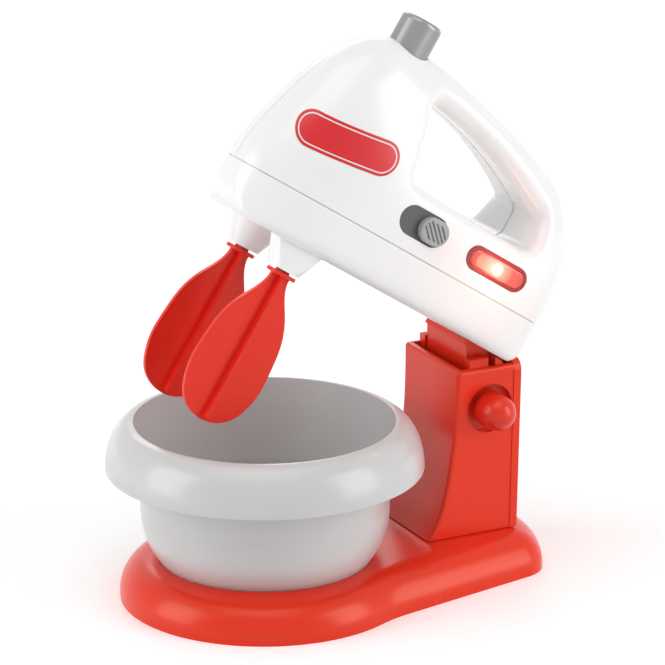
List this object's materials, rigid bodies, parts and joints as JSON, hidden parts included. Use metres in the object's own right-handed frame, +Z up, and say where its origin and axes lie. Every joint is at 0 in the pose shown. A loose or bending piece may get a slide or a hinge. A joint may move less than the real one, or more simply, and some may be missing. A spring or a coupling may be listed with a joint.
{
  "type": "toy hand mixer",
  "caption": "Toy hand mixer with twin leaf beaters and a push button, on a tilting stand over a loose bowl",
  "frame": {"origin": "on the floor, midway along and across the whole toy in its stored pose", "axes": "+Z up, -X towards the mixer's nose and the bowl, +Y to the mixer's far side as pictured"},
  "size_m": [0.1992, 0.128, 0.2332],
  "materials": {
    "stand": "red moulded plastic, satin gloss",
    "beater": "red moulded plastic, glossy",
    "button_red": "red moulded plastic, glossy",
    "housing": "white moulded plastic, glossy",
    "bowl": "silver grey moulded plastic, satin gloss",
    "push_button": "grey moulded plastic",
    "switch_track": "dark grey moulded plastic",
    "switch_cap": "light grey moulded plastic",
    "bezel": "dark red moulded plastic",
    "lens": "translucent red plastic",
    "led": "clear epoxy lamp body",
    "board": "green circuit board",
    "gears": "natural acetal",
    "inner_plastic": "black moulded plastic",
    "motor_can": "plated steel can",
    "cell": "sleeved battery cell",
    "contact": "nickel-plated strip",
    "steel": "zinc-plated steel",
    "spring_steel": "spring steel"
  },
  "bodies": {
    "stand": {"base": "stand", "column": "stand", "column_screws": "steel", "pivot_axle": "steel", "tilt_button_spring": "spring_steel"},
    "bowl": {"bowl": "bowl"},
    "button": {"tilt_button": "button_red", "latch_collar": "gears"},
    "cradle": {"tilt_cradle": "stand"},
    "mixer": {"housing_left": "housing", "housing_right": "housing", "lower_housing": "housing", "housing_screws": "steel", "handle_screws": "steel", "battery_door": "housing", "battery_door_screw": "steel", "battery_left": "cell", "battery_right": "cell", "battery_contacts": "contact", "drive_axle": "steel", "motor": "motor_can", "gearbox_plate": "inner_plastic", "gearbox_screws": "steel", "button_leaf": "spring_steel", "switch_plate": "switch_track", "light_bezel": "bezel", "light_lens": "lens", "led": "led", "circuit_board": "board"},
    "top_button": {"top_button": "push_button"},
    "switch": {"slide_switch": "switch_cap"},
    "spindle_left": {"spindle_left": "gears"},
    "spindle_right": {"spindle_right": "gears"},
    "drive_gear": {"drive_gear": "gears"},
    "rotor": {"motor_pinion": "gears", "motor_shaft": "steel"},
    "beater_left": {"beater_left": "beater"},
    "beater_right": {"beater_right": "beater"}
  },
  "joints": [
    {"name": "head_tilt", "type": "hinge", "parent": "stand", "child": "cradle", "pos_m": [0.0563, 0, 0.086], "axis": [0, 1, 0], "range_deg": [-33, 0]},
    {"name": "mixer_lift", "type": "slide", "parent": "cradle", "child": "mixer", "axis": [0.5446, 0, 0.8387], "range_m": [0, 0.03]},
    {"name": "bowl_lift", "type": "slide", "parent": "stand", "child": "bowl", "axis": [0, 0, 1], "range_m": [0, 0.012]},
    {"name": "tilt_button_press", "type": "slide", "parent": "stand", "child": "button", "axis": [0, 1, 0], "range_m": [0, 0.0033], "stiffness_N_per_m": 600, "springref_m": -0.001, "deforming": ["tilt_button_spring"]},
    {"name": "top_button_press", "type": "slide", "parent": "mixer", "child": "top_button", "axis": [-0.5446, 0, -0.8387], "range_m": [0, 0.004], "stiffness_N_per_m": 700, "springref_m": -0.001, "deforming": ["button_leaf"]},
    {"name": "switch_slide", "type": "slide", "parent": "mixer", "child": "switch", "axis": [0.8387, 0, -0.5446], "range_m": [-0.005, 0]},
    {"name": "beater_left_spin", "type": "hinge", "parent": "mixer", "child": "spindle_left", "pos_m": [-0.03386, -0.018, 0.14455], "axis": [0.5446, 0, 0.8387], "continuous": true},
    {"name": "beater_right_spin", "type": "hinge", "parent": "mixer", "child": "spindle_right", "pos_m": [-0.03386, 0.018, 0.14455], "axis": [0.5446, 0, 0.8387], "continuous": true},
    {"name": "drive_gear_spin", "type": "hinge", "parent": "mixer", "child": "drive_gear", "pos_m": [-0.03386, 0, 0.14455], "axis": [0.5446, 0, 0.8387], "continuous": true},
    {"name": "motor_spin", "type": "hinge", "parent": "mixer", "child": "rotor", "pos_m": [-0.01876, 0, 0.13475], "axis": [0.5446, 0, 0.8387], "continuous": true},
    {"name": "beater_left_pull", "type": "slide", "parent": "spindle_left", "child": "beater_left", "axis": [-0.5446, 0, -0.8387], "range_m": [0, 0.015]},
    {"name": "beater_right_pull", "type": "slide", "parent": "spindle_right", "child": "beater_right", "axis": [-0.5446, 0, -0.8387], "range_m": [0, 0.015]}
  ],
  "couplings": [
    {"joint": "drive_gear_spin", "follows": "beater_left_spin", "ratio": -0.38462},
    {"joint": "beater_right_spin", "follows": "beater_left_spin", "ratio": 1},
    {"joint": "motor_spin", "follows": "beater_left_spin", "ratio": 1.4615}
  ]
}
